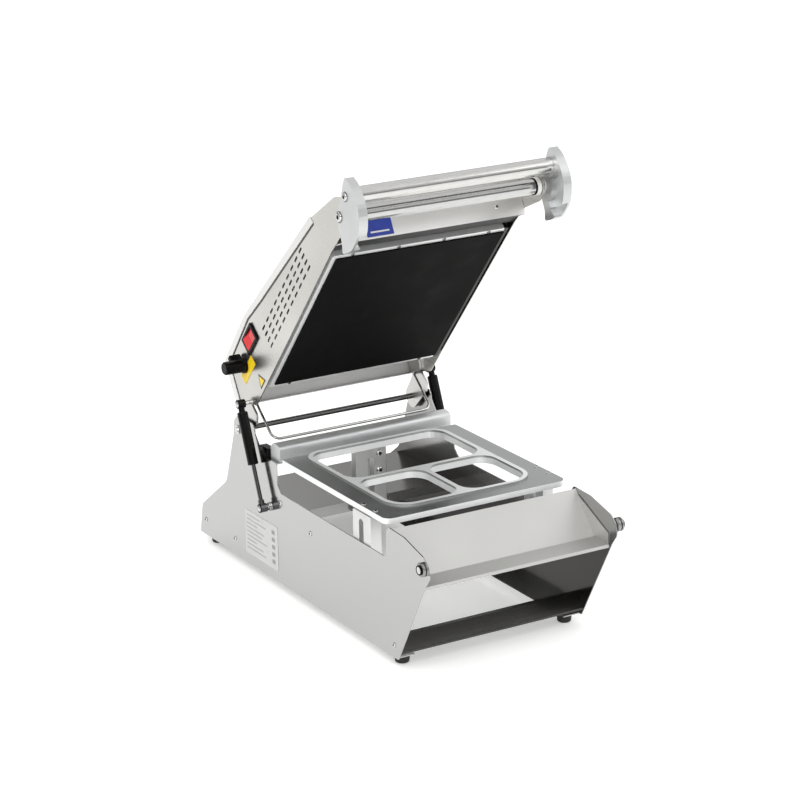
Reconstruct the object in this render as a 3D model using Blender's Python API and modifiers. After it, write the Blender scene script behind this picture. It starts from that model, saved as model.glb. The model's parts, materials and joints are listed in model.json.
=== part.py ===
"""A manual tray sealer: a sheet-steel base with a tray die, and a hinged heating head held up by two gas struts.

+X is the machine's right, +Y its rear and +Z up. The head is drawn in its closed place and turned up to rest.
Lengths are in millimetres here and become metres on the way into Blender.
"""

import math

import bmesh
import bpy
from mathutils import Matrix, Vector

MM = 0.001
GAP = 0.3  # between faces that touch
OVER = 1.0  # how far a cutter runs past what it cuts

# Driving dimensions
BODY_HALF = 145.0  # half the width over the side panels
SHEET = 1.5
INSIDE = BODY_HALF - SHEET - GAP  # half width of what fits between the side panels
HEAD_HALF = 142.0  # half the width over the head's side plates
HEAD_INSIDE = HEAD_HALF - SHEET - GAP
FOOT_HEIGHT = 12.0
STEP_TOP = 189.5  # top of the side panels behind the die
DIE_TOP = 196.5
DIE_THICK = 8.0
RIM_TOP = 199.5  # the sealing rims stand proud of the die
PLATE_LOW = 200.5  # underside of the closed heating plate
HINGE_Y, HINGE_Z = 189.0, 209.0
OPEN_ANGLE = 50.0
SHAFT_R = 4.0
ROLLER_Y, ROLLER_Z = -320.1, 164.5
LATCH_Y, LATCH_Z = -315.0, 198.5  # axis the handle turns about, head closed
GRIP_Y, GRIP_Z = -348.0, 205.0
LATCH_IN, LATCH_OUT = 147.8, 160.7  # the latch plates' faces
STRUT_X = 155.5
STRUT_LOW = (107.4, 117.6)
STRUT_HIGH = (137.7, 219.7)  # on the closed head
KNOB_Y, KNOB_Z = 103.0, 260.0
SWITCH_Y, SWITCH_Z = 56.5, 272.0
SIDE_SHIFT = 5.9  # puts the whole box's middle, knob included, on X = 0

HEAD_PIVOT = Vector((0, HINGE_Y, HINGE_Z)) * MM
LATCH_PIVOT = Vector((0, LATCH_Y, LATCH_Z)) * MM
KNOB_PIVOT = Vector((-HEAD_HALF, KNOB_Y, KNOB_Z)) * MM
ROCKER_PIVOT = Vector((-139.0, SWITCH_Y, SWITCH_Z)) * MM
SIDES = (("left", -1), ("right", 1))


def clear_scene():
    for obj in list(bpy.data.objects):
        bpy.data.objects.remove(obj, do_unlink=True)


def collection(name):
    made = bpy.data.collections.new(name)
    bpy.context.scene.collection.children.link(made)
    return made


def material(name, colour, metallic, roughness):
    made = bpy.data.materials.new(name)
    made.use_nodes = True
    shader = made.node_tree.nodes["Principled BSDF"]
    shader.inputs["Base Color"].default_value = (*colour, 1)
    shader.inputs["Metallic"].default_value = metallic
    shader.inputs["Roughness"].default_value = roughness
    made.diffuse_color = (*colour, 1)
    return made


clear_scene()
PARTS = collection("tray_sealer")
CUTTERS = collection("cutters")
STAINLESS = material("stainless", (0.62, 0.61, 0.59), 1.0, 0.25)
SATIN = material("satin_steel", (0.58, 0.58, 0.57), 1.0, 0.35)
ALUMINIUM = material("aluminium", (0.48, 0.50, 0.51), 1.0, 0.4)
NONSTICK = material("nonstick_black", (0.012, 0.012, 0.013), 0.0, 0.6)
BLACK_PAINT = material("black_paint", (0.015, 0.015, 0.016), 0.0, 0.35)
BLACK_PLASTIC = material("black_plastic", (0.02, 0.02, 0.022), 0.0, 0.45)
WHITE_PLASTIC = material("white_plastic", (0.8, 0.8, 0.78), 0.0, 0.4)
RED_PLASTIC = material("red_plastic", (0.75, 0.04, 0.04), 0.0, 0.25)
RUBBER = material("rubber", (0.015, 0.015, 0.015), 0.0, 0.8)
CHROME = material("chrome", (0.75, 0.75, 0.75), 1.0, 0.1)
BOARD = material("insulation", (0.55, 0.52, 0.46), 0.0, 0.9)


# Shapes


def finish(obj, name, surface):
    obj.name = name
    obj.data.name = name
    obj.data.materials.clear()
    obj.data.materials.append(surface)
    for shared in list(obj.users_collection):
        shared.objects.unlink(obj)
    PARTS.objects.link(obj)
    return obj


def as_cutter(obj):
    PARTS.objects.unlink(obj)
    CUTTERS.objects.link(obj)
    obj.hide_render = True
    obj.display_type = "WIRE"
    return obj


def combine(target, other, operation):
    modifier = target.modifiers.new(operation.lower() + "_" + other.name, "BOOLEAN")
    modifier.operation = operation
    modifier.solver = "EXACT"
    modifier.object = as_cutter(other)
    return target


def cut(target, other):
    return combine(target, other, "DIFFERENCE")


def join(target, other):
    return combine(target, other, "UNION")


def box(name, low, high, surface=STAINLESS, bevel=0.0):
    bpy.ops.mesh.primitive_cube_add(size=1)
    obj = finish(bpy.context.object, name, surface)
    size = Vector(high) - Vector(low)
    obj.data.transform(Matrix.Diagonal((*(abs(s) * MM for s in size), 1)))
    obj.location = (Vector(high) + Vector(low)) / 2 * MM
    if bevel:
        eased = obj.modifiers.new("bevel", "BEVEL")
        eased.width = bevel * MM
        eased.segments = 3
    return obj


def rounded(corners, steps=6):
    """The outline through (y, z, radius) corners, each corner with a radius turned into an arc."""
    outline = []
    for index, (y, z, radius) in enumerate(corners):
        here = Vector((y, z))
        if not radius:
            outline.append(here)
            continue
        before = Vector(corners[index - 1][:2]) - here
        after = Vector(corners[(index + 1) % len(corners)][:2]) - here
        before.normalize()
        after.normalize()
        half = before.angle(after) / 2
        centre = here + (before + after).normalized() * radius / math.sin(half)
        first = here + before * radius / math.tan(half) - centre
        last = here + after * radius / math.tan(half) - centre
        turn = first.angle_signed(last)
        for step in range(steps + 1):
            angle = -turn * step / steps
            spin = Matrix.Rotation(angle, 2)
            outline.append(centre + spin @ first)
    return outline


def ring(y, z, radius, count=24, start=0.0):
    """Points round a circle."""
    angles = (start + 2 * math.pi * step / count for step in range(count))
    return [Vector((y + radius * math.cos(a), z + radius * math.sin(a))) for a in angles]


def slot(y, z, length, width, upright=False):
    """A slot with round ends, centred on y, z."""
    long, wide = (width, length) if upright else (length, width)
    corner = width / 2 - 0.01
    ends = ((-1, -1), (1, -1), (1, 1), (-1, 1))
    return rounded([(y + a * long / 2, z + b * wide / 2, corner) for a, b in ends], 4)


def flat(name, outlines, low, high, surface, along="X"):
    """A plate cut to the outlines, the first one its edge and the rest its holes, from low to high."""
    curve = bpy.data.curves.new(name, "CURVE")
    curve.dimensions = "2D"
    curve.fill_mode = "BOTH"
    curve.extrude = abs(high - low) / 2 * MM
    for outline in outlines:
        spline = curve.splines.new("POLY")
        spline.points.add(len(outline) - 1)
        spline.use_cyclic_u = True
        for point, (a, b) in zip(spline.points, outline):
            point.co = (a * MM, b * MM, 0, 1)
    drawn = bpy.data.objects.new(name, curve)
    PARTS.objects.link(drawn)
    middle = (low + high) / 2 * MM
    if along == "X":
        drawn.location = (middle, 0, 0)
        drawn.rotation_euler = (math.pi / 2, 0, math.pi / 2)
    else:
        drawn.location = (0, 0, middle)
    return to_mesh(drawn, name, surface)


def to_mesh(drawn, name, surface):
    """The curve object as a closed mesh object in the same place."""
    bpy.context.view_layer.update()
    evaluated = drawn.evaluated_get(bpy.context.evaluated_depsgraph_get())
    mesh = bpy.data.meshes.new_from_object(evaluated)
    welded = bmesh.new()
    welded.from_mesh(mesh)
    bmesh.ops.remove_doubles(welded, verts=welded.verts, dist=0.00001)
    bmesh.ops.recalc_face_normals(welded, faces=welded.faces)
    welded.to_mesh(mesh)
    welded.free()
    made = bpy.data.objects.new(name, mesh)
    made.matrix_world = drawn.matrix_world
    bpy.data.objects.remove(drawn, do_unlink=True)
    PARTS.objects.link(made)
    return finish(made, name, surface)


def sheet(points, thickness):
    """The closed outline of a bent sheet: the line of its one face, and that line offset by its thickness."""
    line = [Vector(point) for point in points]
    normals = []
    for start, end in zip(line, line[1:]):
        run = (end - start).normalized()
        normals.append(Vector((-run.y, run.x)))
    offset = [line[0] + normals[0] * thickness]
    for here, before, after in zip(line[1:-1], normals, normals[1:]):
        middle = (before + after).normalized()
        offset.append(here + middle * thickness / middle.dot(before))
    offset.append(line[-1] + normals[-1] * thickness)
    return line + offset[::-1]


def turned(name, profile, place, surface, axis=(0, 0, 1), steps=32):
    """A profile of (radius, height) from top to bottom, turned about an axis through place."""
    mesh = bpy.data.meshes.new(name)
    vertices = [(radius * MM, 0, height * MM) for radius, height in profile]
    mesh.from_pydata(vertices, [(i, i + 1) for i in range(len(profile) - 1)], [])
    obj = bpy.data.objects.new(name, mesh)
    PARTS.objects.link(obj)
    screw = obj.modifiers.new("turn", "SCREW")
    screw.steps = steps
    screw.render_steps = steps
    screw.use_merge_vertices = True
    screw.merge_threshold = 0.00001
    obj.location = Vector(place) * MM
    obj.rotation_euler = Vector((0, 0, 1)).rotation_difference(Vector(axis)).to_euler()
    return finish(obj, name, surface)


def rod(name, radius, low, high, y, z, surface, steps=32):
    """A solid round bar along X."""
    profile = [(0, high), (radius, high), (radius, low), (0, low)]
    return turned(name, profile, (0, y, z), surface, (1, 0, 0), steps)


def tube(name, radius, wall, low, high, y, z, surface, steps=32):
    """A hollow round bar along X."""
    inner = radius - wall
    profile = [(inner, high), (radius, high), (radius, low), (inner, low), (inner, high)]
    return turned(name, profile, (0, y, z), surface, (1, 0, 0), steps)


def hang(pivot, pieces):
    """Parents pieces and their cutters to a pivot, each drawn where it lies before the pivot turns."""
    for piece in pieces:
        cutters = [modifier.object for modifier in piece.modifiers if modifier.type == "BOOLEAN"]
        for obj in [piece, *cutters]:
            obj.parent = pivot
            obj.matrix_parent_inverse = Matrix.Translation(-pivot.location)


def pivot_at(name, point):
    """An empty on a joint's axis."""
    made = bpy.data.objects.new(name, None)
    made.location = point
    PARTS.objects.link(made)
    return made


def outward(side, near, far):
    """Low and high X of something from near to far off the middle, on one side."""
    return tuple(sorted((side * near, side * far)))


# Base


def side_panel(name, side):
    edge = rounded(
        [
            (-245, 12, 3),
            (-316.7, 137.9, 25),
            (-327.5, 152, 9),
            (-324, 168, 9),
            (-312, 177, 12),
            (-264.5, 189, 20),
            (-225, 190.6, 4),
            (-218.8, 183, 3),
            (-218.3, 147, 7),
            (70, 147, 12),
            (81, 158, 4),
            (81, STEP_TOP - 1, 3),
            (118, STEP_TOP, 8),
            (127, 195.4, 6),
            (144, 215, 4),
            (144, 228, 10),
            (196, 228, 10),
            (206.8, 218, 8),
            (210.5, 194.5, 12),
            (238, 117, 25),
            (320, 58, 10),
            (329.5, 12, 1),
        ]
    )
    hole = ring(HINGE_Y, HINGE_Z, SHAFT_R + GAP)
    low, high = outward(side, BODY_HALF - SHEET, BODY_HALF)
    panel = flat(name, [edge, hole], low, high, STAINLESS)
    reach = BODY_HALF - 0.4
    low, high = outward(side, 117, reach)
    join(panel, box(name + "_floor", (low, -241.5, 12.2), (high, 326, 13.7)))
    low, high = outward(side, 133, reach)
    return join(panel, box(name + "_step", (low, 82, 186.6), (high, 118, 188.1)))


def front_panel():
    face = [(-231.5, 189.6), (-277, 136), (-310, 134.5), (-310.4, 130)]
    panel = flat("front_panel", [sheet(face, SHEET)], -INSIDE, INSIDE, SATIN)
    gusset = rounded([(-236, 183.3, 0), (-276, 135.2, 0), (-308.5, 134, 0), (-308.5, 150, 3)])
    for name, side in SIDES:
        low, high = outward(side, INSIDE - SHEET, INSIDE - 0.05)
        join(panel, flat("gusset_" + name, [gusset], low, high, SATIN))
    return panel


def front_crossbar():
    face = [(-247.2, 22.6), (-232.2, 38.7), (-226, 38.9)]
    bar = flat("front_crossbar", [sheet(face, SHEET)], -INSIDE, INSIDE, STAINLESS)
    lip = box("crossbar_lip", (-INSIDE + 0.4, -249.4, 20.4), (INSIDE - 0.4, -245.8, 23.6))
    return join(bar, lip)


def rear_cover():
    face = [(84, 94), (84, 109), (238, 108.5), (252, 95), (317, 49), (325, 15)]
    return flat("rear_cover", [sheet(face, -SHEET)], -INSIDE, INSIDE, STAINLESS)


def foot(name, x, y):
    top = FOOT_HEIGHT - GAP
    profile = [(0, top), (10, top), (10.5, top - 2), (9.6, 1.2), (8.6, 0), (0, 0)]
    return turned(name, profile, (x, y, 0), RUBBER, steps=28)


def hinge_nut(name, side):
    low, high = outward(side, BODY_HALF + GAP, BODY_HALF + 5)
    nut = rod(name, 7, low, high, HINGE_Y, HINGE_Z, CHROME, steps=6)
    low, high = outward(side, BODY_HALF + 4, BODY_HALF + 6.6)
    return join(nut, rod(name + "_end", 3.6, low, high, HINGE_Y, HINGE_Z, CHROME, steps=20))


def roller_bolt(name, side):
    shank = 3.0
    low, high = outward(side, BODY_HALF + GAP, 155.6)
    bolt = rod(name, shank, low, high, ROLLER_Y, ROLLER_Z, CHROME, steps=24)
    low, high = outward(side, 155.1, 156.8)
    return join(bolt, rod(name + "_head", 5, low, high, ROLLER_Y, ROLLER_Z, CHROME, steps=24))


def nose_roller(name, side):
    radius, groove, bore = 9.5, 8.4, 3.1
    faces = [(bore, 8.8), (8.4, 8.8), (radius, 8), (radius, 5.4), (groove, 5.2), (groove, 3.6)]
    faces += [(radius, 3.4), (radius, 0.8), (8.4, 0), (bore, 0), (bore, 8.8)]
    place = (side * 146, ROLLER_Y, ROLLER_Z)
    return turned(name, faces, place, ALUMINIUM, (side, 0, 0), steps=40)


def die_plate():
    """The tray die: three tray openings, each ringed by a raised sealing rim."""
    edge = rounded([(-141, -213, 12), (141, -213, 12), (141, 73, 3), (-141, 73, 3)])
    seat = rounded([(-109, -185, 36), (109, -185, 36), (109, 68.5, 27), (-109, 68.5, 27)])
    plate = flat("die_plate", [edge, seat], DIE_TOP - DIE_THICK, DIE_TOP, ALUMINIUM, "Z")
    outer, inner, front, back, wall = 112, 105.5, -188, 71.5, 6.5
    rim = rounded([(-outer, front, 38), (outer, front, 38), (outer, back, 30), (-outer, back, 30)], 9)
    near, mid_front, mid_back, half_wall = front + wall, -67, -60, 3.5
    rear_tray = [(-inner, mid_back, 24), (inner, mid_back, 24), (inner, back - wall, 24)]
    trays = [rounded(rear_tray + [(-inner, back - wall, 24)], 9)]
    for name, side in SIDES:
        near_x, far_x = side * half_wall, side * inner
        tray = [(near_x, near, 24), (far_x, near, 31.5), (far_x, mid_front, 24), (near_x, mid_front, 24)]
        trays.append(rounded(tray, 9))
    return join(plate, flat("rims", [rim, *trays], DIE_TOP - DIE_THICK - 0.6, RIM_TOP, ALUMINIUM, "Z"))


def front_die_post(name, side):
    edge = rounded([(-176, 112, 2), (-129, 112, 2), (-129, 187.6, 2), (-176, 187.6, 2)])
    opening = slot(-151, 150, 58, 12, upright=True)
    low, high = outward(side, 127, INSIDE)
    return flat(name, [edge, opening], low, high, ALUMINIUM)


def rear_die_post():
    post = box("rear_die_post", (-25, 71, 93), (25, 83.7, 187.6), ALUMINIUM, 1.0)
    return cut(post, box("rear_post_slot", (-5, 60, 118), (5, 90, 172)))


def film_guide_bar():
    edge = rounded([(82, 188.4, 1), (109, 188.4, 1), (109, 206, 7), (99, 213.5, 8), (82, 211, 6)])
    return flat("film_guide_bar", [edge], -139, 139, ALUMINIUM)


def lower_stud(name, side):
    y, z = STRUT_LOW
    low, high = outward(side, BODY_HALF + GAP, 156)
    stud = rod(name, 3, low, high, y, z, CHROME, steps=24)
    low, high = outward(side, BODY_HALF + GAP, 147.4)
    return join(stud, rod(name + "_flange", 6.2, low, high, y, z, CHROME, steps=24))


def build_base():
    for name, side in SIDES:
        side_panel(name + "_side_panel", side)
        foot("front_" + name + "_foot", side * 128, -226)
        foot("rear_" + name + "_foot", side * 128, 305)
        hinge_nut(name + "_hinge_nut", side)
        roller_bolt(name + "_roller_bolt", side)
        front_die_post("front_" + name + "_die_post", side)
        lower_stud(name + "_lower_stud", side)
        spin = pivot_at(name + "_roller_axis", Vector((side * 146, ROLLER_Y, ROLLER_Z)) * MM)
        hang(spin, [nose_roller(name + "_nose_roller", side)])
    front_panel()
    front_crossbar()
    rear_cover()
    reach = BODY_HALF
    rod("hinge_shaft", SHAFT_R, -reach, reach, HINGE_Y, HINGE_Z, SATIN)
    die_plate()
    rear_die_post()
    film_guide_bar()
    box("film_stop_block", (-INSIDE, 110, 188.4), (-131.6, 134, 201.6), BLACK_PLASTIC, 1.0)
    gland = [(0, 13), (4, 13), (6, 11), (6.5, 5), (9, 4.8), (9, 0), (0, 0)]
    turned("cable_gland", gland, (-90, 323.2, 30), BLACK_PLASTIC, Vector((0, 1, 0.235)), steps=24)


# Struts


def build_strut(name, side, open_high):
    """A rod that swings on the base's stud, and a cylinder that slides on it and meets the head's stud."""
    low = Vector((0, *STRUT_LOW))
    high = Vector((0, *open_high))
    along = (high - low).normalized()
    length = (high - low).length
    foot_place = low + Vector((side * STRUT_X, 0, 0))
    shaft = [(0, 76), (3, 76), (3, 12), (4.4, 11), (4.4, 4), (0, 4)]
    strut_rod = turned(name + "_strut_rod", shaft, foot_place, CHROME, along, steps=24)
    near, far = outward(side, 149.5, 160)
    y, z = STRUT_LOW
    join(strut_rod, rod(name + "_rod_eye", 6.2, near, far, y, z, CHROME, steps=28))
    near, far = outward(side, 148, 157)
    cut(strut_rod, rod(name + "_rod_eye_bore", 3.1, near, far, y, z, CHROME, steps=24))

    top = length - 5
    mouth = length - 87
    body = [(0, top), (4.5, top), (4.5, top - 6), (7.2, top - 7), (7.5, top - 8), (7.5, mouth + 1)]
    body += [(6.5, mouth), (3.15, mouth), (3.15, mouth + 63), (0, mouth + 63)]
    cylinder = turned(name + "_strut_cylinder", body, foot_place, BLACK_PAINT, along)
    near, far = outward(side, 149.5, 160)
    socket = rod(name + "_cylinder_eye", 6.2, near, far, high.y, high.z, BLACK_PAINT, steps=28)
    join(cylinder, socket)
    swing = pivot_at(name + "_strut_axis", foot_place * MM)
    hang(swing, [strut_rod, cylinder])


# Head


def head_side_plate(name, side):
    edge = rounded(
        [
            (-266, 200, 6),
            (-302, 182.5, 10),
            (-331, 182.5, 15),
            (-331, 202, 5),
            (-309.8, 232.6, 4),
            (-296.5, 243.2, 6),
            (-227, 265.5, 0),
            (44.3, 300.8, 15),
            (146.8, 298, 6),
            (168, 236.5, 5),
            (118.5, 202.8, 4),
            (65, 203.4, 0),
            (-231.8, 203, 0),
        ]
    )
    holes = [ring(LATCH_Y, LATCH_Z, 4.3)]
    rows, columns = 10, 4
    for row in range(rows):
        for column in range(columns):
            holes.append(slot(-164 + 19.4 * row, 228 + 10 * column, 12, 3.6))
    if side < 0:
        holes.append(ring(KNOB_Y, KNOB_Z, 5))
        reach_y, reach_z = 18.2, 12.2
        corners = ((-1, -1), (1, -1), (1, 1), (-1, 1))
        holes.append([Vector((SWITCH_Y + a * reach_y, SWITCH_Z + b * reach_z)) for a, b in corners])
    low, high = outward(side, HEAD_HALF - SHEET, HEAD_HALF)
    return flat(name, [edge, *holes], low, high, STAINLESS)


def head_arm(name, side):
    edge = rounded(
        [
            (120, 240, 4),
            (137, 219, 6),
            (137, 196, 5),
            (150, 188, 10),
            (205, 193, 14),
            (203, 222, 12),
            (160, 227, 3),
            (152, 262, 8),
            (130, 286, 5),
        ]
    )
    hole = ring(HINGE_Y, HINGE_Z, SHAFT_R + 0.1, 32)
    low, high = outward(side, HEAD_INSIDE - 3.3, HEAD_INSIDE)
    return flat(name, [edge, hole], low, high, SATIN)


def head_cover():
    face = [(-224, 268.6), (44.3, 303.6), (148.6, 300.6), (171.2, 236.5), (163, 230.9)]
    cover = flat("head_cover", [sheet(face, -1.2)], -INSIDE, INSIDE, STAINLESS)
    strip = [(-223.8, 257.8), (-16, 286), (40, 295), (139, 290.5), (160.5, 233)]
    outer = [(170.6, 236.6), (148.2, 300), (44.3, 303), (-223.8, 268)]
    for name, side in SIDES:
        low, high = outward(side, HEAD_HALF + GAP, INSIDE - 0.05)
        join(cover, flat("cover_strip_" + name, [[Vector(p) for p in strip + outer]], low, high, SATIN))
    return cover


def head_front_panel():
    face = [(-228.5, 206.5), (-243, 203.4), (-263, 192), (-276, 222), (-291, 241), (-226, 263)]
    return flat("head_front_panel", [sheet(face, -1.2)], -HEAD_INSIDE, HEAD_INSIDE, STAINLESS)


def heater_frame():
    edge = rounded([(-136, -221, 3), (136, -221, 3), (136, 79, 3), (-136, 79, 3)])
    window = rounded([(-129.8, -214.9, 0), (129.8, -214.9, 0), (129.8, 72.3, 0), (-129.8, 72.3, 0)])
    return flat("heater_frame", [edge, window], PLATE_LOW + 2.2, 219, ALUMINIUM, "Z")


def heating_element():
    """A tubular element bent into a row of hairpins."""
    curve = bpy.data.curves.new("heating_element", "CURVE")
    curve.dimensions = "3D"
    curve.bevel_depth = 3.3 * MM
    curve.bevel_resolution = 2
    curve.use_fill_caps = True
    runs, pitch, reach, middle, height, arc = 6, 40.0, 110.0, -70.0, PLATE_LOW + 15.2, 8
    points = []
    for run in range(runs):
        x = (run - (runs - 1) / 2) * pitch
        way = 1 if run % 2 == 0 else -1
        points.append((x, middle - way * reach, height))
        if run == runs - 1:
            points.append((x, middle + way * reach, height))
            break
        for step in range(arc):
            angle = math.pi * step / arc
            across = pitch / 2 * (1 - math.cos(angle))
            turn_y = middle + way * (reach + pitch / 2 * math.sin(angle))
            points.append((x + across, turn_y, height))
    spline = curve.splines.new("POLY")
    spline.points.add(len(points) - 1)
    for point, place in zip(spline.points, points):
        point.co = (*(Vector(place) * MM), 1)
    drawn = bpy.data.objects.new("heating_element", curve)
    PARTS.objects.link(drawn)
    return to_mesh(drawn, "heating_element", SATIN)


def switch_housing():
    place = Vector((0, SWITCH_Y, SWITCH_Z))
    flange = box("switch_housing", (-145, 36, 258), (-142.3, 77, 286), BLACK_PLASTIC, 0.8)
    low = place + Vector((-143, -17.6, -11.6))
    high = place + Vector((-122, 17.6, 11.6))
    join(flange, box("switch_case", low, high, BLACK_PLASTIC))
    low = place + Vector((-147, -16.2, -10))
    high = place + Vector((-124, 16.2, 10))
    return cut(flange, box("switch_well", low, high, BLACK_PLASTIC))


def switch_rocker():
    """A rocker whose face is a shallow V, tilted to its off side."""
    tilt = math.radians(7)
    face = [(-14.6, 5.2), (0, 3.4), (14.6, 5.2), (15.2, 2), (13, -6), (-13, -6), (-15.2, 2)]
    spin = Matrix.Rotation(tilt, 2)
    outline = [spin @ Vector(point) for point in face]
    half = 9.6
    rocker = flat("switch_rocker", [outline], -half, half, RED_PLASTIC, "Z")
    # the outline's first way runs along Y and its second out of the head's left side
    turned_out = Matrix.Rotation(math.radians(90), 4, "Z")
    rocker.matrix_world = Matrix.Translation(ROCKER_PIVOT) @ turned_out
    return rocker


def thermostat():
    near, half = HEAD_INSIDE, 16
    low = (-near, KNOB_Y - half, KNOB_Z - half)
    high = (-near + 22, KNOB_Y + half, KNOB_Z + half)
    body = box("thermostat_body", low, high, SATIN)
    return cut(body, rod("thermostat_bore", 3.15, -near - OVER, -near + 10, KNOB_Y, KNOB_Z, SATIN, 24))


def thermostat_knob():
    profile = [(0, 33), (8, 33), (9.4, 31.4), (9.8, 6), (11.5, 4.5), (11.5, 0.6), (3, 0.6)]
    profile += [(3, -10), (0, -10)]
    place = (-HEAD_HALF, KNOB_Y, KNOB_Z)
    knob = turned("thermostat_knob", profile, place, BLACK_PLASTIC, (-1, 0, 0), steps=40)
    low = (-HEAD_HALF - 19, KNOB_Y - 4.5, KNOB_Z)
    high = (-HEAD_HALF - 1.4, KNOB_Y + 4.5, KNOB_Z + 18)
    return join(knob, box("knob_pointer", low, high, BLACK_PLASTIC, 2))


def wire_bail():
    """A wire loop on the head's arms that takes up the film behind the guide bar."""
    reach, half, top, low, y, corner = HEAD_INSIDE - 3.3 - GAP, 128.5, 219.0, 156.0, 143.0, 12.0
    arc = 5
    path = [(-reach, top)]
    path.append((-half - 3, top))
    path.append((-half, top - 3))
    for step in range(arc + 1):
        angle = math.pi / 2 * step / arc
        path.append((-half + corner * (1 - math.cos(angle)), low + corner * (1 - math.sin(angle))))
    path += [(-x, z) for x, z in path[::-1]]
    curve = bpy.data.curves.new("wire_bail", "CURVE")
    curve.dimensions = "3D"
    curve.bevel_depth = 2 * MM
    curve.bevel_resolution = 3
    curve.use_fill_caps = True
    spline = curve.splines.new("POLY")
    spline.points.add(len(path) - 1)
    for point, (x, z) in zip(spline.points, path):
        point.co = (x * MM, y * MM, z * MM, 1)
    drawn = bpy.data.objects.new("wire_bail", curve)
    PARTS.objects.link(drawn)
    return to_mesh(drawn, "wire_bail", SATIN)


def upper_stud(name, side):
    y, z = STRUT_HIGH
    low, high = outward(side, HEAD_HALF + GAP, 149.1)
    return rod(name, 3, low, high, y, z, CHROME, steps=24)


def latch_pivot_screw(name, side):
    low, high = outward(side, 138, LATCH_OUT + 2)
    screw = rod(name, 4, low, high, LATCH_Y, LATCH_Z, CHROME)
    low, high = outward(side, LATCH_OUT + GAP, LATCH_OUT + 2.6)
    return join(screw, rod(name + "_head", 6.5, low, high, LATCH_Y, LATCH_Z, CHROME))


def build_head():
    pieces = []
    for name, side in SIDES:
        pieces.append(head_side_plate("head_" + name + "_plate", side))
        pieces.append(head_arm("head_" + name + "_arm", side))
        pieces.append(upper_stud(name + "_upper_stud", side))
        pieces.append(latch_pivot_screw(name + "_latch_screw", side))
        low, high = outward(side, HEAD_HALF + GAP, LATCH_IN - GAP)
        washer = tube(name + "_latch_washer", 10.5, 6.2, low, high, LATCH_Y, LATCH_Z, WHITE_PLASTIC)
        pieces.append(washer)
    pieces.append(head_cover())
    pieces.append(head_front_panel())
    pieces.append(heater_frame())
    plate = ((-129.5, -214.6, PLATE_LOW), (129.5, 72, PLATE_LOW + 11.5))
    pieces.append(box("heating_plate", *plate, NONSTICK))
    pieces.append(heating_element())
    board = ((-136, -221, 219.3), (136, 79, 225.3))
    pieces.append(box("insulation_board", *board, BOARD))
    pieces.append(box("front_head_bar", (-HEAD_INSIDE, -212, 228), (HEAD_INSIDE, -192, 240), SATIN))
    pieces.append(box("rear_head_bar", (-HEAD_INSIDE, 84, 226), (HEAD_INSIDE, 104, 238), SATIN))
    pieces.append(switch_housing())
    pieces.append(thermostat())
    pieces.append(wire_bail())
    pivot_tube = ("latch_pivot_tube", 10.5, 1.5, -HEAD_INSIDE, HEAD_INSIDE, LATCH_Y, LATCH_Z, CHROME)
    pieces.append(tube(*pivot_tube))
    return pieces


# Handle


def latch_plate(name, side):
    """A thick end plate of the handle, with an inner pocket that hooks under the nose roller."""
    edge = rounded(
        [
            (-366.7, 222, 2.5),
            (-354, 218.6, 10),
            (-338, 211.5, 12),
            (-317, 206.5, 16),
            (-302, 192, 14),
            (-292.5, 172, 10),
            (-282.5, 163, 3),
            (-303, 151, 34),
            (-337, 151, 40),
            (-364, 173, 46),
            (-370.5, 205, 34),
        ]
    )
    bore = ring(LATCH_Y, LATCH_Z, 4.15, 32)
    low, high = outward(side, LATCH_IN, LATCH_OUT)
    plate = flat(name, [edge, bore], low, high, SATIN)
    hub, reach, first, last, count = 22.5, 44.3, -76, -167, 16
    sweep = [math.radians(first + (last - first) * step / count) for step in range(count + 1)]
    centre = Vector((LATCH_Y, LATCH_Z))
    arc = [Vector((math.cos(angle), math.sin(angle))) for angle in sweep]
    pocket = [centre + way * reach for way in arc] + [centre + way * hub for way in arc[::-1]]
    low, high = outward(side, LATCH_IN - OVER, 157.5)
    cut(plate, flat(name + "_pocket", [pocket], low, high, SATIN))
    mouth = ((low, -332.3, 140), (high, -305, 166))
    return cut(plate, box(name + "_mouth", *mouth))


def build_handle():
    pieces = []
    for name, side in SIDES:
        pieces.append(latch_plate(name + "_latch_plate", side))
        low, high = outward(side, LATCH_OUT + GAP, LATCH_OUT + 2.6)
        pieces.append(rod(name + "_grip_screw", 5.5, low, high, GRIP_Y, GRIP_Z, CHROME, 24))
    reach = LATCH_IN - GAP
    pieces.append(tube("grip_tube", 11.25, 1.5, -reach, reach, GRIP_Y, GRIP_Z, SATIN, 40))
    return pieces


def turned_open(point):
    """Where a point (y, z) of the closed head lies with the head open."""
    spin = Matrix.Rotation(-math.radians(OPEN_ANGLE), 2)
    hinge = Vector((HINGE_Y, HINGE_Z))
    return hinge + spin @ (Vector(point) - hinge)


def main():
    build_base()
    head = pivot_at("head_axis", HEAD_PIVOT)
    hang(head, build_head())
    handle = pivot_at("handle_axis", LATCH_PIVOT)
    hang(handle, build_handle())
    knob = pivot_at("knob_axis", KNOB_PIVOT)
    hang(knob, [thermostat_knob()])
    rocker = pivot_at("rocker_axis", ROCKER_PIVOT)
    hang(rocker, [switch_rocker()])
    hang(head, [handle, knob, rocker])
    head.rotation_euler = (-math.radians(OPEN_ANGLE), 0, 0)
    for name, side in SIDES:
        build_strut(name, side, turned_open(STRUT_HIGH))
    for obj in bpy.data.objects:
        if obj.parent is None:
            obj.location.x += SIDE_SHIFT * MM


main()
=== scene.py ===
"""The looks of the tray sealer: materials, screws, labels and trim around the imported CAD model."""

import json
import math

import bmesh
import bpy
from mathutils import Matrix, Vector


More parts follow.
